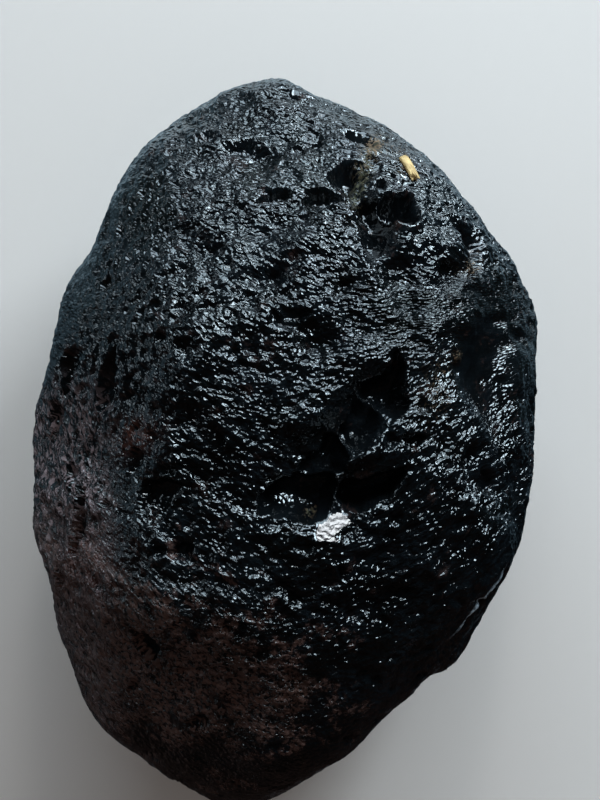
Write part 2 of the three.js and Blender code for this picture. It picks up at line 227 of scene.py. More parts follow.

# The sharp edge along the lower right, raised and painted pale as a painted highlight: its points
# across and along, height and width.
EDGE_LINE = [
    (26.0, -12.6), (24.3, -15.3), (22.7, -17.5), (21.4, -19.4), (20.0, -21.2), (17.6, -23.6),
]
EDGE_HEIGHT = 0.25
EDGE_WIDTH = 0.22

# Pinholes all over: how many, their widths and a second factor that varies them, how many times
# longer than wide they are, how far they turn from level in degrees, and how deep they are as a
# share of their width.
PINHOLES = 900
PINHOLE_WIDTH = (0.7, 1.9)
PINHOLE_VARIETY = (0.7, 1)
PINHOLE_STRETCH = (1, 2)
PINHOLE_TURN = (-35, 35)
PINHOLE_DEPTH_SHARE = (0.2, 0.42)

# The small relief, coarsest first: its height on the sides, how much higher it is where the stone
# faces up or down, the share of it that the smooth flank loses, or gains if it is below 0, and
# its wavelengths. The last line bends the first two: by how much, its wavelength and its seed.
LUMPS = (0.04, 0.74, 0.75, (5.8, 4.6, 5.6))
WRINKLES = (0.16, 0.17, 0.3, (2.3, 1.9, 2.3))
GRAIN = (0.2, 0.02, -0.1, (1.15, 1.0, 1.15))
RELIEF_BEND = (0.5, 2.8, 40)

# The glass's flow lines: the middle and the width of the smile that they make over the face, how
# steeply they fall to the right below the crown, and the height and length of their sway.
SMILE_MIDDLE = 2
SMILE_SPREAD = 56
CROWN_FALL = 0.3
SWAY = 1.6
SWAY_LENGTH = 15

# Where the skin changes, in millimetres: each pair says where a change starts and where it is
# complete, across, along or in height above the widest section. The brown's upper border, partly
# weathering and partly a painted warm reflection, slants: it falls by a share of the way across.
CROWN_ALONG = (8, 20)
FLANK_ACROSS = (-9, -15)
FLANK_ALONG = (-6, 6)
FLANK_HEIGHT = (-8, 0)
LOW_RELIEF_ALONG = (-16, -21)
WORN_END_ALONG = (-25, -33)
WEATHERED_HEIGHT = (-24, -6)
BROWN_ACROSS = (14, -4)
BROWN_ALONG = (-11, -32)
BROWN_SLANT = 0.4
BROWN_FADE_ALONG = (-38, -26)
MAUVE_ACROSS = (-17, -23)
MAUVE_ALONG = (9, 1)

# The relief's height by place: how far the surface's normal points up or down where it starts to
# rise and where it is full, the share that it loses on the lower face, and the belt where it is
# higher, by how large a share.
STEEP_TO_FLAT = (0.1, 0.55)
LOW_RELIEF_SHARE = 0.75
ROUGHER_BELT = (3, -14, 26, 9, 5)
ROUGHER_SHARE = 0.9

# The depth where a pit's floor is calm, the depths where a hollow starts to be sheltered and
# where it fully is, and the shares of the relief that calm pits, still hollows and the worn end
# of the face lose.
CALM_DEPTH = 0.8
SHELTERED_DEPTH = (0.8, 2.0)
CALM_PIT_SHARE = 0.6
STILL_SHARE = 0.8
WORN_END_SHARE = 0.6

# The smoother beds of the great hollow of the right side and of the one below the crown: across,
# along, length, width, turn.
STILL_HOLLOWS = [(23.6, 9.6, 12, 11, 80), (8.8, 34.7, 5.8, 3, -30)]

# How calm the skin is, as the share of its grain that it loses: in sheltered hollows, on the
# smooth flank, in the still hollows and on polished places.
CALM_SHELTER = 0.6
CALM_FLANK = 0.4
CALM_STILL = 0.9
CALM_POLISH = 0.97

# The share of the brown that is left at the end of the stone, how much of the brown, mauve and
# rust is taken out of sheltered hollows as painted shade, and how sheltered it is where this
# starts and where it is complete.
BROWN_AT_END = 0.15
PAINTED_SHADE_SHARE = 0.9
PAINTED_SHADE_SHELTER = (0, 0.35)

# Stains on the face: strength, across, along, length, width, turn in degrees.
CAVITY_DIRT = (1, 2.9, -8, 1.4, 0.7, 15)
DIRT_MARKS = [
    (0.9, 10.5, 33.1, 3.6, 2.2, 55),
    (0.8, 8.9, 29.4, 8.4, 2.1, 70),
    (0.6, 13.8, 31.6, 4.2, 2.4, -60),
    (0.7, 21.6, 19.6, 3.2, 2, 40),
    (0.8, 19.9, 9.3, 1.8, 1.4, 0),
    (0.35, 17, 6, 4, 8, 0),
    CAVITY_DIRT,
]
OLIVE_MARKS = [(1, 8.5, 28.4, 7.4, 3.6, 70), CAVITY_DIRT]
RUST_MARKS = [(1, -16, 0.5, 4.5, 3.2, 20), (1, -22.5, -14, 9, 6.5, 70)]

# The plant splinter: its middle, its lean along the surface, and its length, width and thickness.
SPLINTER_AT = (14.1, 30.5)
SPLINTER_LEANS = (0.36, -0.78, 0.5)
SPLINTER_SIZE = (3.25, 1.2, 0.8)
SPLINTER_BEND = 0.08
SPLINTER_RINGS = 40
SPLINTER_SIDES = 36

# The splinter's fibres and ridges, as shares of its girth, and how many ridges it has. Then how
# much thinner it gets towards its end, how much girth each end begins with and how fast it gains
# more, how ragged the two ends are, as shares of its length, over which share of that, and how
# deep the far end is hollowed, in millimetres.
FIBRE_SHARE = 0.035
RIDGE_SHARE = 0.02
RIDGES = 5
SPLINTER_TAPER = 0.12
START_GIRTH = 0.72
END_GIRTH = 0.8
GIRTH_GAIN = 5
START_RAGGED = 0.04
END_RAGGED = 0.16
RAGGED_SHARE = 0.25
END_HOLLOW = 0.12

# How it is all worked out: the two numbers of the random generator, the turn from one scattered
# pit to the next, the step either side of a point for its normal, the height that the search for
# a place on the face starts below and how often it is halved, and what parts two noises.
PARK_MILLER_FACTOR = 16807
PARK_MILLER_PRIME = 2**31 - 1
GOLDEN_ANGLE = math.pi * (3 - math.sqrt(5))
NORMAL_STEP = 0.01
SIGHT_TOP = 1.2 * FACE_RISE
SIGHT_HALVINGS = 40
NOISE_SHIFT = np.array([17.3, -8.1, 5.7])


class ParkMiller:
    """The generator that the solid's scattered pits use, so that both agree."""

    def __init__(self, seed):
        self.state = seed

    def __call__(self, low, high):
        self.state = self.state * PARK_MILLER_FACTOR % PARK_MILLER_PRIME
        return low + (high - low) * self.state / PARK_MILLER_PRIME


def unit(vectors):
    return vectors / np.linalg.norm(vectors, axis=-1, keepdims=True)


def smooth_step(low, high, value):
    share = np.clip((value - low) / (high - low), 0, 1)
    return share * share * (3 - 2 * share)


# --- the pebble ---------------------------------------------------------------------------------


def outline_knots():
    """The outline's points as bearings and radii, with a few of them repeated past the seam."""
    across, along = (np.array(OUTLINE) * (WIDTH / 2, LENGTH / 2)).T
    bearings = np.arctan2(across, along) % FULL_TURN
    order = np.argsort(bearings)
    bearings = bearings[order]
    radii = np.hypot(across, along)[order]
    bearings = np.concatenate([bearings[-2:] - FULL_TURN, bearings, bearings[:3] + FULL_TURN])
    return bearings, np.concatenate([radii[-2:], radii, radii[:3]])


KNOT_BEARINGS, KNOT_RADII = outline_knots()


def outline_radius(bearing):
    """The widest section's radius, as a smooth curve through the outline's points."""
    bearing = bearing % FULL_TURN
    at = np.searchsorted(KNOT_BEARINGS, bearing, side="right") - 1
    before, here, ahead, beyond = (KNOT_BEARINGS[at + step] for step in (-1, 0, 1, 2))
    radius_before, start, end, radius_beyond = (KNOT_RADII[at + step] for step in (-1, 0, 1, 2))
    span = ahead - here
    t = (bearing - here) / span
    start_slope = (end - radius_before) / (ahead - before) * span
    end_slope = (radius_beyond - start) / (beyond - here) * span
    return (
        start * (1 + 2 * t) * (1 - t) ** 2
        + end * (3 - 2 * t) * t**2
        + start_slope * t * (1 - t) ** 2
        - end_slope * (1 - t) * t**2
    )


def soft_radius(bearing):
    """The section's radius, averaged over a window of bearings."""
    shares = (-2, -1, 0, 1, 2)
    return sum(outline_radius(bearing + share * SOFT_WINDOW / 2) for share in shares) / len(shares)


def make_swells():
    """The swells' waves: the way each one runs, its wavelength, its phase and its height."""
    random = ParkMiller(SEED)
    swells = []
    for count, height, shortest, longest in SWELLS:
        for _ in range(count):
            toward = unit(np.array([random(-1, 1), random(-1, 1), random(-1, 1)]))
            swells.append((toward, random(shortest, longest), random(0, FULL_TURN), height))
    return swells


SWELL_WAVES = make_swells()


def body_points(directions):
    """Where the pebble's surface lies in each direction from its middle, before its pits."""
    level = np.hypot(directions[:, 0], directions[:, 1])
    bearing = np.arctan2(directions[:, 0], directions[:, 1])
    waist = np.exp(-((directions[:, 2] / WAIST_BAND) ** 2))
    radius = waist * outline_radius(bearing) + (1 - waist) * soft_radius(bearing)
    rise = np.where(directions[:, 2] > 0, FACE_RISE, BACK_DROP)
    round_part = (level / radius) ** ROUNDNESS + (np.abs(directions[:, 2]) / rise) ** ROUNDNESS
    closeness = round_part ** (FACET_SHARPNESS / ROUNDNESS)
    for toward, distance in FACETS:
        facing = directions @ unit(np.array(toward))
        closeness = closeness + (np.maximum(0, facing) / distance) ** FACET_SHARPNESS
    points = directions * (closeness ** (-1 / FACET_SHARPNESS))[:, None]
    swell = sum(
        height * np.sin(FULL_TURN * (points @ toward) / wavelength + phase)
        for toward, wavelength, phase, height in SWELL_WAVES
    )
    return points + directions * swell[:, None]


def body_normals(directions):
    """Which way the pebble's surface faces in each direction from its middle."""
    side = unit(np.cross([1e-6, 0, 1], directions))
    up = np.cross(directions, side)

    def slope(axis):
        ahead = body_points(unit(directions + NORMAL_STEP * axis))
        return ahead - body_points(unit(directions - NORMAL_STEP * axis))

    return unit(np.cross(slope(side), slope(up)))


def face_directions(across, along):
    """The directions of the points of the face that are seen at these places from above."""
    low = np.zeros(len(across))
    high = np.full(len(across), SIGHT_TOP)
    for _ in range(SIGHT_HALVINGS):
        sight = np.stack([across, along, (low + high) / 2], axis=1)
        inside = np.linalg.norm(body_points(unit(sight)), axis=1) > np.linalg.norm(sight, axis=1)
        low = np.where(inside, sight[:, 2], low)
        high = np.where(inside, high, sight[:, 2])
    return unit(sight)


class Hollow:
    """A pit or dish in its own frame: its middle, its inward axis and its two half-axes."""

    def __init__(self, middle, normal, length, width, turn, depth, profile):
        across = unit(np.array([1.0, 0.0, 0.0]) - normal[0] * normal)
        along = np.cross(normal, across)
        angle = math.radians(turn)
        self.middle = middle
        self.normal = normal
        self.long_axis = math.cos(angle) * across + math.sin(angle) * along
        self.short_axis = np.cross(normal, self.long_axis)
        self.half_length = length / 2
        self.half_width = width / 2
        self.depth = depth
        self.floor, self.edge = profile

    def near(self, points):
        """The numbers of the points that may lie in the hollow."""
        gap = points - self.middle
        limit = PIT_MARGIN * self.half_length
        return np.flatnonzero(np.einsum("ij,ij->i", gap, gap) < limit**2)

    def reach(self, points):
        """How far points lie from the middle, where 1 is the rim, which wanders in and out."""
        gap = points - self.middle
        a = gap @ self.long_axis / self.half_length
        b = gap @ self.short_axis / self.half_width
        phase = self.middle[0] + self.middle[1]
        wander = np.sin(PIT_LOBES * np.arctan2(b, a) + phase)
        return np.hypot(a, b) * (1 + PIT_WANDER * wander)

    def depth_below(self, points):
        share = np.minimum(1, self.reach(points))
        return self.depth * (1 - share**self.floor) ** self.edge


def pit_profile(length, width, turn, depth):
    if depth > CAVITY_DEPTH:
        return CAVITY_PROFILE
    return PIT_PROFILE if length > PINHOLE_LENGTH else PINHOLE_PROFILE


def hollows(directions, sizes, profile=None):
    middles = body_points(directions)
    normals = body_normals(directions)
    return [
        Hollow(middle, normal, *size, profile or pit_profile(*size))
        for middle, normal, size in zip(middles, normals, sizes)
    ]


def face_hollows(places, profile=None):
    table = np.array(places, dtype=float)
    return hollows(face_directions(table[:, 0], table[:, 1]), table[:, 2:], profile)


def scattered_hollows():
    """The solid's pits on the sides and the back: a golden spiral, each one nudged."""
    random = ParkMiller(SEED + 1)
    directions = []
    sizes = []
    for i in range(SCATTERED_PITS):
        share = (i + random(*SCATTER_NUDGE)) / SCATTERED_PITS
        height = SCATTER_BELOW - (1 + SCATTER_BELOW) * share
        bearing = GOLDEN_ANGLE * i + random(*SCATTER_SWING)
        level = math.sqrt(1 - height * height)
        direction = np.array([level * math.cos(bearing), level * math.sin(bearing), height])
        if body_points(direction[None])[0, 2] + WAIST_HEIGHT < WORN_MARGIN:
            continue
        length = random(*SCATTER_LENGTH)
        width = length * random(*SCATTER_SLIMNESS)
        turn = random(0, 180)
        directions.append(direction)
        sizes.append((length, width, turn, SCATTER_DEPTH_SHARE * width))
    return hollows(np.array(directions), sizes)


def pinhole_hollows():
    """Tiny pits all over the stone, each one a little longer than it is wide."""
    random = ParkMiller(SEED + 2)
    directions = []
    sizes = []
    for _ in range(PINHOLES):
        height = random(-1, 1)
        bearing = random(0, FULL_TURN)
        level = math.sqrt(1 - height * height)
        directions.append((level * math.cos(bearing), level * math.sin(bearing), height))
        width = random(*PINHOLE_WIDTH) * random(*PINHOLE_VARIETY)
        length = width * random(*PINHOLE_STRETCH)
        turn = random(*PINHOLE_TURN)
        sizes.append((length, width, turn, width * random(*PINHOLE_DEPTH_SHARE)))
    return hollows(np.array(directions), sizes)


# --- the fine net and its relief ----------------------------------------------------------------


def geodesic_ball(parts):
    """An icosahedron's faces cut into small triangles: unit directions and their corners."""
    shape = bmesh.new()
    bmesh.ops.create_icosphere(shape, subdivisions=1, radius=1)
    shape.verts.ensure_lookup_table()
    corners = np.array([vert.co[:] for vert in shape.verts])
    faces = np.array([[vert.index for vert in face.verts] for face in shape.faces])
    shape.free()
    places = [(i, j) for i in range(parts + 1) for j in range(parts + 1 - i)]
    number = {place: index for index, place in enumerate(places)}
    cells = [
        (number[i, j], number[i + 1, j], number[i, j + 1]) for i, j in places if i + j < parts
    ]
    cells += [
        (number[i + 1, j], number[i + 1, j + 1], number[i, j + 1])
        for i, j in places
        if i + j < parts - 1
    ]
    weights = np.array([(parts - i - j, i, j) for i, j in places]) / parts
    points = np.einsum("wc,fcx->fwx", weights, corners[faces]).reshape(-1, 3)
    starts = len(places) * np.arange(len(faces))
    triangles = (np.array(cells)[None] + starts[:, None, None]).reshape(-1, 3)
    _, first, shared = np.unique(points.round(5), axis=0, return_index=True, return_inverse=True)
    return unit(points[first]), shared.reshape(-1)[triangles]


def stone_directions(ball):
    """Spreads the ball's directions evenly over the stone, and draws them towards its face."""
    stretched = unit(ball * np.sqrt([WIDTH, LENGTH, FACE_RISE + BACK_DROP]))
    polar = np.arccos(np.clip(stretched[:, 2], -1, 1))
    drawn = polar - FACE_CLOSENESS * np.sin(polar)
    level = unit(np.column_stack([stretched[:, :2], np.full(len(ball), 1e-12)]))[:, :2]
    return np.column_stack([level * np.sin(drawn)[:, None], np.cos(drawn)])


def field(points, wavelengths, seed):
    """Perlin noise of the points, from about -1 to 1, with its own wavelength on each axis."""
    shift = NOISE_SHIFT * seed
    return np.array([noise.noise(place) for place in (points / wavelengths + shift).tolist()])


def crests(points, wavelengths, seed):
    """Shallow bowls that meet in a web of sharp crests."""
    return 0.5 - 2 * np.abs(field(points, wavelengths, seed))


def warped(points, amount, wavelength, seed):
    """Pushes points about, so that what is drawn on them loses its regular outlines."""
    pushes = [field(points, (wavelength,) * 3, seed + axis) for axis in range(3)]
    return points + amount * np.column_stack(pushes)


def flow_coordinates(points):
    """Coordinates in which the glass's flow lines run level: a smile over the middle of the
    face, and a fall to the right below the crown."""
    across, along, height = points.T
    upper = smooth_step(*CROWN_ALONG, along)
    smile = -((across - SMILE_MIDDLE) ** 2) / SMILE_SPREAD * (1 - upper)
    fall = CROWN_FALL * across * upper
    sway = SWAY * field(points, (SWAY_LENGTH,) * 3, 1)
    return np.column_stack([across, along + smile + fall + sway, height])


def spot(points, across, along, length, width, turn):
    """A soft round or oval mark on the face: 1 in its middle, a third at its rim, 0 far off."""
    angle = math.radians(turn)
    x = points[:, 0] - across
    y = points[:, 1] - along
    a = (x * math.cos(angle) + y * math.sin(angle)) / (length / 2)
    b = (y * math.cos(angle) - x * math.sin(angle)) / (width / 2)
    return np.exp(-(a * a + b * b)) * (points[:, 2] > 0)


def left_flank(body):
    """The smoother flank: 1 on it and 0 off it."""
    across, along, height = body.T
    level = smooth_step(*FLANK_ACROSS, across) * smooth_step(*FLANK_ALONG, along)
    return level * smooth_step(*FLANK_HEIGHT, height)


def still_hollows(body):
    """The two hollows with smooth beds: 1 in their middles and 0 far off them."""
    return sum(spot(body, *place) for place in STILL_HOLLOWS)


def small_relief(body, flow, normals):
    """Lumps, wrinkles and grain, lower round the waist, where they would fray the outline, and
    over the end of the face, which is worn."""
    flank = left_flank(body)
    facing = smooth_step(*STEEP_TO_FLAT, np.abs(normals[:, 2]))
    lower_face = smooth_step(*LOW_RELIEF_ALONG, body[:, 1]) * (normals[:, 2] > 0)
    facing *= 1 - LOW_RELIEF_SHARE * lower_face
    facing *= 1 + ROUGHER_SHARE * spot(body, *ROUGHER_BELT)
    bent = warped(flow, *RELIEF_BEND)

    def layer(form, points, seed, height, more_when_flat, calmer_flank, wavelengths):
        heights = (height + more_when_flat * facing) * (1 - calmer_flank * flank)
        return heights * form(points, wavelengths, seed)

    relief = layer(field, bent, 2, *LUMPS)
    relief += layer(crests, bent, 3, *WRINKLES)
    relief += layer(crests, flow, 4, *GRAIN)
    return relief


def lip_heights(body):
    """How high the thin lips stand on the rims of their cavities."""
    heights = np.zeros(len(body))
    for *place, height, start, end in LIPS:
        (rim,) = face_hollows([[*place, 1]])
        near = rim.near(body)
        ring = np.exp(-(((rim.reach(body[near]) - 1) / LIP_WIDTH) ** 2))
        gap = body[near] - rim.middle
        bearing = np.degrees(np.arctan2(gap[:, 1], gap[:, 0]))
        fade = smooth_step(start, start + LIP_TAPER, bearing)
        fade *= smooth_step(end, end - LIP_TAPER, bearing)
        heights[near] = np.maximum(heights[near], height * ring * fade)
    return heights


def edge_line(body):
    """The sharp edge of the lower right: 1 on its crest and 0 off it, fading at its ends."""
    line = np.array(EDGE_LINE)
    crest = np.zeros(len(body))
    for number, (start, end) in enumerate(zip(line, line[1:])):
        gap = body[:, :2] - start
        share = np.clip(gap @ (end - start) / np.sum((end - start) ** 2), 0, 1)
        distance = np.linalg.norm(gap - share[:, None] * (end - start), axis=1)
        whole = (number + share) / (len(line) - 1)
        fade = np.sin(math.pi * np.clip(whole, 0, 1)) ** 0.5
        crest = np.maximum(crest, fade * np.exp(-((distance / EDGE_WIDTH) ** 2)))
    return crest * (body[:, 2] > 0)


def sink_dishes(body):
    """How the soft dishes move each point of the pebble, and how deep they are there."""
    moves = np.zeros_like(body)
    depths = np.zeros(len(body))
    for dish in face_hollows(DISHES, DISH_PROFILE):
        near = dish.near(body)
        depth = dish.depth_below(body[near])
        moves[near] -= dish.normal * depth[:, None]
        depths[near] += depth
    return moves, depths


def cut_pits(body, normals):
    """How the pits move each point, and how deep they are there. The deepest one counts."""
    pits = face_hollows(FACE_PITS) + scattered_hollows()
    pits += face_hollows(SMALL_FACE_PITS) + pinhole_hollows()
    depths = np.zeros(len(body))
    inward = normals.copy()
    uneven = body
    for warp in PIT_WARPS:
        uneven = warped(uneven, *warp)
    for pit in pits:
        near = pit.near(body)
        depth = pit.depth_below(uneven[near])
        deeper = depth > depths[near]
        depths[near[deeper]] = depth[deeper]
        inward[near[deeper]] = pit.normal
    return -inward * depths[:, None], depths


def chip_facets(points, body, polish):
    """Breaks the chips off the points, and marks their fresh faces in the polish."""
    for across, along, reach, gone, toward in CHIPS:
        toward = unit(np.array(toward))
        near = np.flatnonzero(np.hypot(body[:, 0] - across, body[:, 1] - along) < reach)
        near = near[body[near, 2] > 0]
        level = points[near] @ toward
        above = level - (level.max() - gone)
        points[near] -= toward * np.maximum(0, above)[:, None]
        polish[near] = np.maximum(polish[near], smooth_step(*CHIP_EDGE, above))


def shape_stone(directions):
    """The finished surface, with the masks that the glass's nodes read."""
    body = body_points(directions)
    normals = body_normals(directions)
    dish_moves, dish_depths = sink_dishes(body)
    pit_moves, pit_depths = cut_pits(body, normals)
    lip = lip_heights(body)
    edge = edge_line(body)
    flow = flow_coordinates(body)

    shelter = smooth_step(*SHELTERED_DEPTH, dish_depths + pit_depths)
    in_pit = np.maximum(np.clip(pit_depths / CALM_DEPTH, 0, 1), shelter)
    still = still_hollows(body)
    worn_end = smooth_step(*WORN_END_ALONG, body[:, 1]) * (body[:, 2] > 0)
    kept = (1 - CALM_PIT_SHARE * in_pit) * (1 - STILL_SHARE * still)
    kept *= 1 - WORN_END_SHARE * worn_end
    raised = lip + EDGE_HEIGHT * edge + small_relief(body, flow, normals) * kept
    points = body + dish_moves + pit_moves + normals * raised[:, None]

    polish = np.clip(lip / POLISHED_LIP, 0, 1)
    chip_facets(points, body, polish)
    points[:, 2] = np.maximum(-WAIST_HEIGHT, points[:, 2])
    # The edge's crest also carries the pale painted highlight.
    masks = {"shelter": np.maximum(shelter, still), "polish": polish, "painted_highlight": edge}
    return points, body, flow, masks


def stain(body, marks):
    """The soft marks of one stain, added up."""
    return sum(strength * spot(body, *place) for strength, *place in marks)


def stone_masks(body, shelter, polish, painted_highlight):
    """Where the weathering, partly a painted warm reflection, and the stains lie, kept out of the
    deeper hollows as painted shade, where the painted highlight runs, and where the skin is calm
    and smooth.
    """
    across, along, height = body.T
    # Painted shade: the brown, mauve and rust are taken out of deep hollows, which then show
    # black.
    outside_painted_shade = 1 - PAINTED_SHADE_SHARE * smooth_step(*PAINTED_SHADE_SHELTER, shelter)
    weathered_outside_painted_shade = smooth_step(*WEATHERED_HEIGHT, height) * outside_painted_shade
    # The brown is partly weathering and partly a painted warm reflection, fainter towards the end.
    brown_and_warm_reflection = smooth_step(*BROWN_ALONG, along + BROWN_SLANT * across)
    brown_and_warm_reflection *= smooth_step(*BROWN_ACROSS, across)
    brown_and_warm_reflection *= BROWN_AT_END + (1 - BROWN_AT_END) * smooth_step(*BROWN_FADE_ALONG, along)
    worn = smooth_step(*MAUVE_ACROSS, across) * smooth_step(*MAUVE_ALONG, along)
    calm = np.maximum(CALM_SHELTER * shelter, CALM_FLANK * left_flank(body))
    calm = np.maximum(calm, CALM_STILL * still_hollows(body))
    calm = np.maximum(calm, CALM_POLISH * polish)
    return {
        "brown_and_warm_reflection": brown_and_warm_reflection * weathered_outside_painted_shade,
        "worn": worn * weathered_outside_painted_shade,
        "dirt": stain(body, DIRT_MARKS),
        "rust": stain(body, RUST_MARKS) * outside_painted_shade,
        "olive": stain(body, OLIVE_MARKS),
        "painted_highlight": painted_highlight,
        "calm": np.maximum(calm, painted_highlight),
    }


def make_mesh(name, points, triangles, attributes):
    """An object with smooth shading, and with values on its points for the nodes to read."""
    mesh = bpy.data.meshes.new(name)
    mesh.from_pydata(points.tolist(), [], triangles.tolist())
    mesh.shade_smooth()
    for label, values in attributes.items():
        kind, key = ("FLOAT", "value") if values.ndim == 1 else ("FLOAT_VECTOR", "vector")
        layer = mesh.attributes.new(label, kind, "POINT")
        layer.data.foreach_set(key, values.astype(np.float32).ravel())
    mesh.update()
    piece = bpy.data.objects.new(name, mesh)
    bpy.context.collection.objects.link(piece)
    return piece


def make_stone():
    """The stone's skin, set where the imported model's stone is, with its resting patch at 0."""
    ball, triangles = geodesic_ball(NET_PARTS)
    directions = stone_directions(ball)
    points, body, flow, masks = shape_stone(directions)
    middle = (body.min(axis=0) + body.max(axis=0)) / 2
    shift = STONE_CENTRE - middle * MM
    shift[2] = WAIST_HEIGHT * MM
    places = points * MM + shift
    masks = stone_masks(body, **masks)
    stone = make_mesh("stone_skin", places, triangles, {"flow": flow, **masks})
    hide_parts("stone")
    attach(stone, "root")
    return stone, directions, places


def tube_triangles(rings, sides):
    """The faces of a tube whose two ends are closed by fans round two added last points."""
    triangles = []
    for ring in range(rings):
        for i in range(sides):
            j = (i + 1) % sides
            a, b = ring * sides + i, ring * sides + j
            c, d = a + sides, b + sides
            triangles += [(a, b, d), (a, d, c)]
    last_ring = rings * sides
    start_point = last_ring + sides
    for i in range(sides):
        j = (i + 1) % sides
        triangles += [(j, i, start_point), (last_ring + i, last_ring + j, start_point + 1)]
    return np.array(triangles)


def make_splinter(directions, places):
    """A flattened, slightly bent stalk with lengthwise fibres and broken ends."""
    direction = face_directions(*np.array([SPLINTER_AT]).T)
    normal = body_normals(direction)[0]
    seat = places[np.argmax(directions @ direction[0])] / MM
    lean = np.array(SPLINTER_LEANS)
    lean = unit(lean - lean @ normal * normal)
    side = np.cross(normal, lean)
    length, width, thickness = SPLINTER_SIZE

    random = ParkMiller(SEED + 3)
    angles = np.linspace(0, FULL_TURN, SPLINTER_SIDES, endpoint=False)
    fibres = FIBRE_SHARE * np.array([random(-1, 1) for _ in angles])
    fibres += RIDGE_SHARE * np.sin(RIDGES * angles)
    frays = np.array([[random(-1, 1) for _ in angles] for _ in (0, 1)])
    rows = []
    for ring in range(SPLINTER_RINGS + 1):
        share = ring / SPLINTER_RINGS
        start_fray = frays[0] * START_RAGGED * max(0, 1 - share / RAGGED_SHARE)
        end_fray = frays[1] * END_RAGGED * max(0, 1 - (1 - share) / RAGGED_SHARE)
        girth = min(1, START_GIRTH + GIRTH_GAIN * share, END_GIRTH + GIRTH_GAIN * (1 - share))
        girth = girth * (1 - SPLINTER_TAPER * share) * (1 + fibres)
        a = (share - 0.5 + start_fray + end_fray) * length
        b = SPLINTER_BEND * math.sin(math.pi * share) + width / 2 * girth * np.cos(angles)
        c = thickness / 2 * (1 + girth * np.sin(angles))
        rows.append(a[:, None] * lean + b[:, None] * side + c[:, None] * normal)
    ends = [rows[0].mean(axis=0), rows[-1].mean(axis=0) - END_HOLLOW * lean]
    points = np.concatenate([*rows, ends]) + seat
    grain = np.tile(fibres / (FIBRE_SHARE + RIDGE_SHARE), SPLINTER_RINGS + 1)
    grain = np.concatenate([grain, [0, 0]])
    triangles = tube_triangles(SPLINTER_RINGS, SPLINTER_SIDES)
    straw = make_mesh("straw", points * MM, triangles, {"grain": grain})
    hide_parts("straw_fragment")
    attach(straw, "root")
    return straw


# --- materials ----------------------------------------------------------------------------------


class Nodes:
    """Short forms for building a material's nodes. A ramp runs smoothly from its start value at
    low to its end value at high."""

    def __init__(self, material):
        material.use_nodes = True
        self.tree = material.node_tree
        self.tree.nodes.clear()

    def add(self, kind, **settings):
        node = self.tree.nodes.new(kind)
        for key, value in settings.items():
            setattr(node, key, value)
        return node

    def link(self, source, target):
        self.tree.links.new(source, target)

    def attribute(self, name):
        return self.add("ShaderNodeAttribute", attribute_name=name)

    def math(self, operation, first, second, clamp=False):
        node = self.add("ShaderNodeMath", operation=operation, use_clamp=clamp)
        for socket, value in zip(node.inputs, (first, second)):
            if isinstance(value, (int, float)):
                socket.default_value = value
            else:
                self.link(value, socket)
        return node.outputs[0]

    def scaled(self, vector, scale):
        node = self.add("ShaderNodeVectorMath", operation="MULTIPLY")
        self.link(vector, node.inputs[0])
        node.inputs[1].default_value = scale
        return node.outputs[0]

    def noise(self, vector, scale, detail=2.0, roughness=0.5, distortion=0.0):
        node = self.add("ShaderNodeTexNoise")
        self.link(vector, node.inputs["Vector"])
        node.inputs["Scale"].default_value = scale
        node.inputs["Detail"].default_value = detail
        node.inputs["Roughness"].default_value = roughness
        node.inputs["Distortion"].default_value = distortion
        return node.outputs["Fac"]

    def ramp(self, value, low, high, start=0.0, end=1.0):
        node = self.add("ShaderNodeMapRange", interpolation_type="SMOOTHSTEP")
        self.link(value, node.inputs["Value"])
        node.inputs["From Min"].default_value = low
        node.inputs["From Max"].default_value = high
        node.inputs["To Min"].default_value = start
        node.inputs["To Max"].default_value = end
        return node.outputs["Result"]

    def mix(self, share, first, second):
        node = self.add("ShaderNodeMix", data_type="RGBA")
        self.link(share, node.inputs["Factor"])
        for socket, value in ((node.inputs["A"], first), (node.inputs["B"], second)):
            if isinstance(value, tuple):
                socket.default_value = (*value, 1)
            else:
                self.link(value, socket)
        return node.outputs["Result"]

    def bump(self, height, distance, strength, normal=None):
        node = self.add("ShaderNodeBump")
        self.link(height, node.inputs["Height"])
        self.link(strength, node.inputs["Strength"])
        node.inputs["Distance"].default_value = distance
        if normal is not None:
            self.link(normal, node.inputs["Normal"])
        return node.outputs["Normal"]

    def finish(self, shader):
        output = self.add("ShaderNodeOutputMaterial")
        self.link(shader.outputs[0], output.inputs["Surface"])


GLASS_BLACK = (0.0015, 0.0018, 0.002)
GLASS_SMOKE = (0.003, 0.004, 0.005)
BROWN_WEATHERING_AND_WARM_REFLECTION = (0.07, 0.036, 0.029)
WORN_MAUVE = (0.14, 0.098, 0.1)
RUST_RED = (0.06, 0.024, 0.018)
DIRT_TAN = (0.16, 0.095, 0.055)
DIRT_DARK = (0.024, 0.02, 0.009)
OLIVE = (0.03, 0.028, 0.011)
# The colour of the painted highlight along the lower right edge.
PAINTED_HIGHLIGHT_PALE = (0.32, 0.37, 0.42)

GLASS_IOR = 1.5
GLASS_SPECULAR = 0.4

# How rough the clean glass is from patch to patch, what the brown and the mauve add to it, and
# the least that dirt and the painted highlight have.
GLASS_ROUGHNESS = (0.08, 0.13)
BROWN_ROUGHNESS = 0.4
WORN_ROUGHNESS = 0.12
DIRT_ROUGHNESS = 0.9
PAINTED_HIGHLIGHT_ROUGHNESS = 0.5

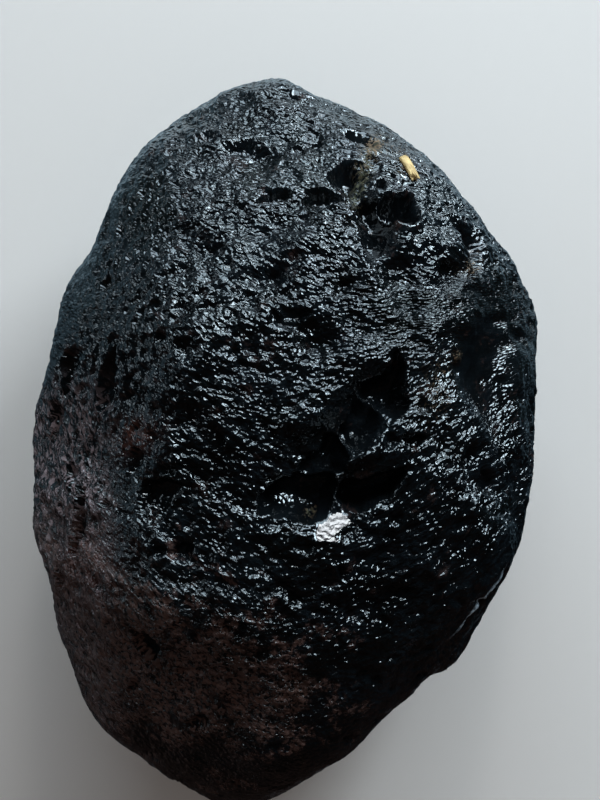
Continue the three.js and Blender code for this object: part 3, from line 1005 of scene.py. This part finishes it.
# Patterns in the skin, in waves per millimetre along the flow lines, and how some are drawn out.
PATCHES = {"scale": 0.22, "detail": 2, "roughness": 0.6}
BORDER = {"scale": 0.35, "detail": 4, "roughness": 0.65}
PORES = {"scale": 1.9, "detail": 3, "roughness": 0.65, "distortion": 0.6}
CRUMBS = {"scale": 3.2, "detail": 4, "roughness": 0.8, "distortion": 0.4}
FLECKS = {"scale": 2.2, "detail": 2, "roughness": 0.55, "distortion": 0.3}
SPECKS = {"scale": 4.4, "detail": 1}
WEB = {"scale": 1, "detail": 3, "roughness": 0.65, "distortion": 0.8}
DASHES = {"scale": 1, "detail": 0.6, "distortion": 0.3}
FLECK_STRETCH = (0.45, 1, 1)
WEB_STRETCH = (1.9, 0.9, 1.9)
DASH_STRETCH = (2, 2.4, 1.7)

# How high the finest grain stands: the glass's dashes, the brown's pores and the mauve's web.
DASH_HEIGHT = 0.41 * MM
PORE_HEIGHT = 0.16 * MM
WEB_HEIGHT = 0.4 * MM


def glass_material():
    """Black glass, with the weathering and the stains that dull it and roughen it, a brown that is
    partly a painted warm reflection, and a pale painted highlight along one edge.
    """
    material = bpy.data.materials.new("stone_glass")
    nodes = Nodes(material)
    flow = nodes.attribute("flow").outputs["Vector"]
    brown_and_warm_reflection, worn, dirt, rust, olive, painted_highlight, calm = (
        nodes.attribute(name).outputs["Fac"]
        for name in ("brown_and_warm_reflection", "worn", "dirt", "rust", "olive", "painted_highlight", "calm")
    )
    drawn_out = nodes.scaled(flow, FLECK_STRETCH)
    patches = nodes.noise(flow, **PATCHES)
    specks = nodes.noise(drawn_out, **SPECKS)
    pitted = nodes.ramp(nodes.noise(flow, **PORES), 0.4, 0.54)
    webbed = nodes.ramp(nodes.noise(nodes.scaled(flow, WEB_STRETCH), **WEB), 0.46, 0.56)

    # Where the weathering, partly a painted warm reflection, each stain and the painted highlight
    # show: their masks, broken up by the patterns.
    ragged = nodes.ramp(nodes.noise(flow, **BORDER), 0.3, 0.7, -0.45, 0.45)
    inside = nodes.ramp(nodes.math("ADD", brown_and_warm_reflection, ragged), 0.3, 0.75)
    brown_and_reflection_here = nodes.math("MULTIPLY", inside, pitted, clamp=True)
    brown_and_reflection_here = nodes.math("MULTIPLY", brown_and_reflection_here, nodes.ramp(patches, 0.3, 0.65, 0.55, 1))
    worn_here = nodes.math("MULTIPLY", worn, webbed, clamp=True)
    flecked = nodes.ramp(nodes.noise(drawn_out, **FLECKS), 0.36, 0.56)
    rust_here = nodes.math("MULTIPLY", rust, flecked, clamp=True)
    crumbs = nodes.ramp(nodes.noise(flow, **CRUMBS), 0.36, 0.64, -0.9, 0.25)
    dirt_here = nodes.ramp(nodes.math("ADD", dirt, crumbs), 0.2, 0.8)
    broken = nodes.ramp(specks, 0.35, 0.6, 0.25, 1)
    # A painted highlight: the pale line along the lower right edge, broken into specks.
    painted_highlight_here = nodes.math("MULTIPLY", nodes.ramp(painted_highlight, 0.45, 1), broken)

    colour = nodes.mix(nodes.ramp(patches, 0.35, 0.7), GLASS_BLACK, GLASS_SMOKE)
    colour = nodes.mix(worn_here, colour, WORN_MAUVE)
    # The brown colour is partly weathering and partly a painted warm reflection.
    colour = nodes.mix(brown_and_reflection_here, colour, BROWN_WEATHERING_AND_WARM_REFLECTION)
    colour = nodes.mix(rust_here, colour, RUST_RED)
    dirt_colour = nodes.mix(nodes.ramp(specks, 0.35, 0.65), DIRT_DARK, DIRT_TAN)
    dirt_colour = nodes.mix(olive, dirt_colour, OLIVE)
    colour = nodes.mix(dirt_here, colour, dirt_colour)
    colour = nodes.mix(painted_highlight_here, colour, PAINTED_HIGHLIGHT_PALE)

    roughness = nodes.ramp(patches, 0.3, 0.7, *GLASS_ROUGHNESS)
    for operation, place, amount in (
        ("ADD", brown_and_reflection_here, BROWN_ROUGHNESS),
        ("ADD", worn_here, WORN_ROUGHNESS),
        ("MAXIMUM", dirt_here, DIRT_ROUGHNESS),
        ("MAXIMUM", painted_highlight_here, PAINTED_HIGHLIGHT_ROUGHNESS),
    ):
        roughness = nodes.math(operation, roughness, nodes.math("MULTIPLY", place, amount))

    dashes = nodes.noise(nodes.scaled(flow, DASH_STRETCH), **DASHES)
    lively = nodes.math("SUBTRACT", 1.0, calm)
    normal = nodes.bump(dashes, DASH_HEIGHT, lively)
    normal = nodes.bump(pitted, PORE_HEIGHT, brown_and_warm_reflection, normal)
    normal = nodes.bump(webbed, WEB_HEIGHT, worn, normal)

    shader = nodes.add("ShaderNodeBsdfPrincipled")
    shader.inputs["IOR"].default_value = GLASS_IOR
    shader.inputs["Specular IOR Level"].default_value = GLASS_SPECULAR
    nodes.link(colour, shader.inputs["Base Color"])
    nodes.link(roughness, shader.inputs["Roughness"])
    nodes.link(normal, shader.inputs["Normal"])
    nodes.finish(shader)
    return material


STRAW_PALE = (0.46, 0.31, 0.13)
STRAW_DARK = (0.3, 0.19, 0.07)
STRAW_ROUGHNESS = 0.75
STRAW_BLOTCHES = {"scale": 900, "detail": 2, "roughness": 0.6}  # waves per metre
FIBRE_CONTRAST = 0.2


def straw_material():
    """Dry straw, paler along some of its fibres and in blotches."""
    material = bpy.data.materials.new("dry_straw")
    nodes = Nodes(material)
    place = nodes.add("ShaderNodeTexCoord").outputs["Object"]
    grain = nodes.math("MULTIPLY", nodes.attribute("grain").outputs["Fac"], FIBRE_CONTRAST)
    blotches = nodes.ramp(nodes.noise(place, **STRAW_BLOTCHES), 0.3, 0.7)
    pale = nodes.ramp(nodes.math("ADD", grain, blotches), -0.1, 0.9)
    shader = nodes.add("ShaderNodeBsdfPrincipled")
    shader.inputs["Roughness"].default_value = STRAW_ROUGHNESS
    nodes.link(nodes.mix(pale, STRAW_DARK, STRAW_PALE), shader.inputs["Base Color"])
    nodes.finish(shader)
    return material


FLOOR_BEIGE = (0.52, 0.455, 0.42)
FLOOR_ROUGHNESS = 0.8
FLOOR_MOTTLE = {"scale": 9, "detail": 3}  # waves per metre
FLOOR_CONTRAST = 1.03


def floor_material():
    """Matt paper with a very faint mottle."""
    material = bpy.data.materials.new("floor_paper")
    nodes = Nodes(material)
    place = nodes.add("ShaderNodeTexCoord").outputs["Object"]
    mottle = nodes.noise(place, **FLOOR_MOTTLE)
    paler = tuple(min(1.0, channel * FLOOR_CONTRAST) for channel in FLOOR_BEIGE)
    shader = nodes.add("ShaderNodeBsdfPrincipled")
    shader.inputs["Roughness"].default_value = FLOOR_ROUGHNESS
    nodes.link(nodes.mix(mottle, FLOOR_BEIGE, paler), shader.inputs["Base Color"])
    nodes.finish(shader)
    return material


# --- the studio ---------------------------------------------------------------------------------

CAMERA_HEIGHT = 200 * MM  # above the stone's widest section
CAMERA_OFFSET = (1.37 * MM, 5.2 * MM)
LENS = 75
SENSOR = 36
FLOOR_RADIUS = 1.6
FLOOR_SIDES = 96

# Soft lights round the stone: where each one hangs as seen from the stone, how far away, its
# width and height in metres, its brightness and its colour. The fill makes no reflection.
COOL = (0.72, 0.89, 1)
LIGHTS = {
    "window": ((0.1, 1, 0.42), 0.6, (0.6, 0.32), 8.5, (0.67, 0.87, 1)),
    "lamp": ((0.1, 1, 0.84), 0.6, (0.06, 0.06), 30, (0.9, 0.96, 1)),
    "right_card": ((0.63, 0.77, 0.58), 0.6, (0.2, 0.18), 27, COOL),
    "low_card": ((0.8, 0.85, -0.1), 0.6, (0.14, 0.12), 32, COOL),
    "left_card": ((-1, 0.2, 0.15), 0.6, (0.28, 0.16), 2.7, COOL),
    "fill": ((0, 0, 1), 1.2, (1.6, 1.6), 0.4, (1, 0.97, 0.94)),
}
WITHOUT_REFLECTION = ("fill",)
ENERGY_PER_AREA = 4  # watts per square metre for a brightness of 1

# The room round the stone: its colours on the left, towards the window and on the near side, and
# how bright it is underfoot and on the near side.
ROOM_BLUE = (0.45, 0.77, 1)
ROOM_PALE = (0.75, 0.91, 1)
ROOM_WARM = (1, 0.68, 0.62)
UNDERFOOT_GLOW = 0.1
NEAR_GLOW = 0.022


def make_camera():
    """A camera that looks straight down on the stone, a little off its middle."""
    data = bpy.data.cameras.new("camera")
    data.lens = LENS
    data.sensor_width = SENSOR
    data.clip_start = 0.01
    camera = bpy.data.objects.new("camera", data)
    camera.location = (*CAMERA_OFFSET, WAIST_HEIGHT * MM + CAMERA_HEIGHT)
    bpy.context.collection.objects.link(camera)
    bpy.context.scene.camera = camera


def make_floor():
    """A round paper floor, which the stone doesn't mirror: in life it has a dark hand there."""
    shape = bmesh.new()
    bmesh.ops.create_circle(shape, cap_ends=True, radius=FLOOR_RADIUS, segments=FLOOR_SIDES)
    mesh = bpy.data.meshes.new("floor")
    shape.to_mesh(mesh)
    shape.free()
    floor = bpy.data.objects.new("floor", mesh)
    floor.data.materials.append(floor_material())
    bpy.context.collection.objects.link(floor)
    floor.visible_glossy = False


def make_light(name, toward, distance, size, brightness, colour):
    """A rectangular soft light that looks at the stone from a direction."""
    data = bpy.data.lights.new(name, "AREA")
    data.shape = "RECTANGLE"
    data.size, data.size_y = size
    data.energy = ENERGY_PER_AREA * size[0] * size[1] * brightness
    data.color = colour
    light = bpy.data.objects.new(name, data)
    direction = Vector(toward).normalized()
    light.location = direction * distance + Vector((0, 0, WAIST_HEIGHT * MM))
    light.rotation_euler = direction.to_track_quat("Z", "Y").to_euler()
    light.visible_camera = False
    light.visible_glossy = name not in WITHOUT_REFLECTION
    bpy.context.collection.objects.link(light)


def make_world():
    """A dim room: grey below the horizon towards the window and on the left, with a faint warm
    glow on the near side and a pale one underfoot."""
    world = bpy.data.worlds.new("studio")
    bpy.context.scene.world = world
    nodes = Nodes(world)
    split = nodes.add("ShaderNodeSeparateXYZ")
    nodes.link(nodes.add("ShaderNodeTexCoord").outputs["Generated"], split.inputs[0])
    x, y, z = (split.outputs[axis] for axis in "XYZ")

    def product(first, *others):
        for other in others:
            first = nodes.math("MULTIPLY", first, other)
        return first

    window_side = product(
        nodes.ramp(y, -0.2, 0.9),
        nodes.ramp(x, 0.35, 0.8, 1, 0.03),
        nodes.ramp(x, -0.8, -0.15, 0.2, 1),
    )
    grey = product(
        nodes.ramp(z, -0.6, -0.25, 1.6, 0.05),
        window_side,
        nodes.ramp(z, -0.97, -0.85, 0.4, 1),
    )
    left_side = product(
        nodes.ramp(z, -0.66, -0.5),
        nodes.ramp(z, -0.2, -0.05, 1, 0.12),
        nodes.ramp(x, -0.65, -0.35, 0.34, 0.02),
        nodes.ramp(y, -0.3, 0.1, 0.35, 1),
    )
    underfoot = nodes.ramp(z, -0.98, -0.88, UNDERFOOT_GLOW, 0)
    near_side = nodes.ramp(y, -0.6, -0.2, NEAR_GLOW, 0)
    strength = grey
    for glow in (left_side, underfoot, near_side):
        strength = nodes.math("ADD", strength, glow)

    cool = nodes.mix(window_side, ROOM_BLUE, ROOM_PALE)
    colour = nodes.mix(nodes.ramp(y, -0.6, -0.1, 1, 0), cool, ROOM_WARM)
    background = nodes.add("ShaderNodeBackground")
    nodes.link(colour, background.inputs["Color"])
    nodes.link(strength, background.inputs["Strength"])
    output = nodes.add("ShaderNodeOutputWorld")
    nodes.link(background.outputs[0], output.inputs["Surface"])


# --- the scene ----------------------------------------------------------------------------------

make_camera()
make_floor()
make_world()
for light_name, settings in LIGHTS.items():
    make_light(light_name, *settings)
bpy.context.scene.view_settings.view_transform = "Standard"

stone_skin, net_directions, net_places = make_stone()
stone_skin.data.materials.append(glass_material())
straw_piece = make_splinter(net_directions, net_places)
straw_piece.data.materials.append(straw_material())
